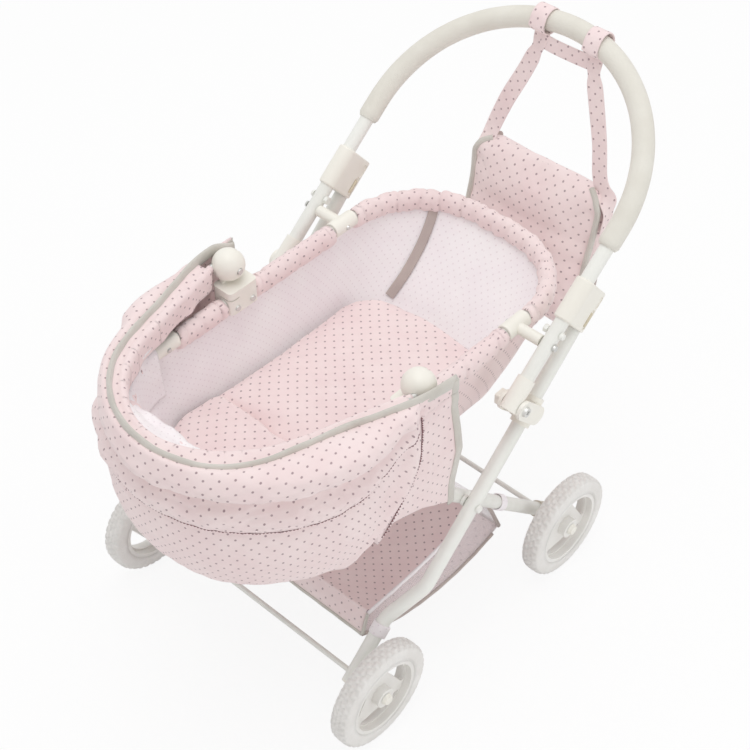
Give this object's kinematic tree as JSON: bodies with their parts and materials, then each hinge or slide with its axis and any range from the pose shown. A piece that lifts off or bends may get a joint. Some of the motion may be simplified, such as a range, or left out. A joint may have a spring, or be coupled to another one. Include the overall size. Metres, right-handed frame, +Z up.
{
  "type": "doll stroller",
  "caption": "Folding doll stroller with a cloth bassinet on crossed tube legs, arched push handle, fold-down hood, net shopping basket, hanging bag and spoked plastic wheels.",
  "frame": {"origin": "on the floor under the middle of the whole stroller", "axes": "+Z up, -Y the front (hood end), +X the pusher's left"},
  "size_m": [0.3948, 0.6637, 0.584],
  "materials": {
    "frame_paint": "satin",
    "plastic": "moulded",
    "cap_plastic": "moulded",
    "wheel_plastic": "moulded",
    "tyre": "foam",
    "foam": "foam",
    "steel": "satin",
    "cloth": "printed dots",
    "lining": "quilted",
    "trim": "satin binding",
    "net": "fine net",
    "board": "hardboard"
  },
  "bodies": {
    "chassis": {"front_leg_left": "frame_paint", "front_leg_right": "frame_paint", "leg_plugs": "plastic", "leg_brackets": "plastic", "handle_pivots": "steel", "cross_rivets": "steel", "front_axle": "steel", "front_spacers": "plastic", "front_caps": "plastic", "basket_floor": "lining", "basket_front": "cloth", "basket_net": "net", "basket_binding": "trim", "basket_loops_front": "trim"},
    "rear_frame": {"rear_leg_left": "frame_paint", "rear_leg_right": "frame_paint", "rear_leg_caps": "cap_plastic", "rear_axle": "steel", "rear_spacers": "plastic", "rear_caps": "plastic", "front_tee_pins": "steel", "basket_loops_rear": "trim"},
    "handle": {"handle_tube": "frame_paint", "handle_grip": "foam", "handle_knuckles": "plastic", "stop_bolts": "steel"},
    "lock_left": {"lock_left": "plastic"},
    "lock_right": {"lock_right": "plastic"},
    "bassinet": {"rim_tube": "frame_paint", "rear_tees": "plastic", "front_tees": "plastic", "tee_screws": "steel", "rear_tee_pins": "steel", "rim_sleeve_rear": "cloth", "rim_sleeve_front": "cloth", "rim_sleeve_sides": "cloth", "bassinet_tub": "lining", "base_board": "board", "mattress": "lining", "pillow": "lining", "seam_tapes": "trim", "hood_clamps": "plastic", "clamp_screws": "steel"},
    "hood": {"hood_knobs": "plastic", "knob_pins": "steel", "hood_bow": "steel", "hood_trim": "trim", "hood_cloth": "cloth"},
    "bag": {"bag_body": "cloth", "bag_straps": "cloth", "bag_piping": "trim"},
    "wheel_front_left": {"hub_front_left": "wheel_plastic", "tyre_front_left": "tyre"},
    "wheel_front_right": {"hub_front_right": "wheel_plastic", "tyre_front_right": "tyre"},
    "wheel_rear_left": {"hub_rear_left": "wheel_plastic", "tyre_rear_left": "tyre"},
    "wheel_rear_right": {"hub_rear_right": "wheel_plastic", "tyre_rear_right": "tyre"}
  },
  "joints": [
    {"name": "handle_fold", "type": "hinge", "parent": "chassis", "child": "handle", "pos_m": [0, 0.03259, 0.32383], "axis": [1, 0, 0], "range_deg": [0, 100]},
    {"name": "rear_frame_fold", "type": "hinge", "parent": "chassis", "child": "rear_frame", "pos_m": [0, -0.02992, 0.21992], "axis": [1, 0, 0], "range_deg": [0, 45.92]},
    {"name": "bassinet_tilt", "type": "hinge", "parent": "handle", "child": "bassinet", "pos_m": [0, 0.08209, 0.375], "axis": [1, 0, 0], "range_deg": [-66.51, 0]},
    {"name": "lock_left_slide", "type": "slide", "parent": "handle", "child": "lock_left", "axis": [0, 0.7716, 0.6361], "range_m": [0, 0.024]},
    {"name": "lock_right_slide", "type": "slide", "parent": "handle", "child": "lock_right", "axis": [0, 0.7716, 0.6361], "range_m": [0, 0.024]},
    {"name": "hood_turn", "type": "hinge", "parent": "bassinet", "child": "hood", "pos_m": [0, -0.0795, 0.413], "axis": [-1, 0, 0], "range_deg": [0, 95], "deforming": ["hood_cloth"]},
    {"name": "bag_swing", "type": "hinge", "parent": "handle", "child": "bag", "pos_m": [0, 0.31539, 0.56732], "axis": [1, 0, 0], "range_deg": [-10, 25]},
    {"name": "wheel_front_left_spin", "type": "hinge", "parent": "chassis", "child": "wheel_front_left", "pos_m": [0.181, -0.1935, 0.065], "axis": [1, 0, 0], "continuous": true},
    {"name": "wheel_front_right_spin", "type": "hinge", "parent": "chassis", "child": "wheel_front_right", "pos_m": [-0.181, -0.1935, 0.065], "axis": [1, 0, 0], "continuous": true},
    {"name": "wheel_rear_left_spin", "type": "hinge", "parent": "rear_frame", "child": "wheel_rear_left", "pos_m": [0.181, 0.1255, 0.065], "axis": [1, 0, 0], "continuous": true},
    {"name": "wheel_rear_right_spin", "type": "hinge", "parent": "rear_frame", "child": "wheel_rear_right", "pos_m": [-0.181, 0.1255, 0.065], "axis": [1, 0, 0], "continuous": true}
  ],
  "couplings": [
    {"joint": "rear_frame_fold", "follows": "handle_fold", "ratio": 0.4592},
    {"joint": "bassinet_tilt", "follows": "handle_fold", "ratio": -0.6651}
  ]
}
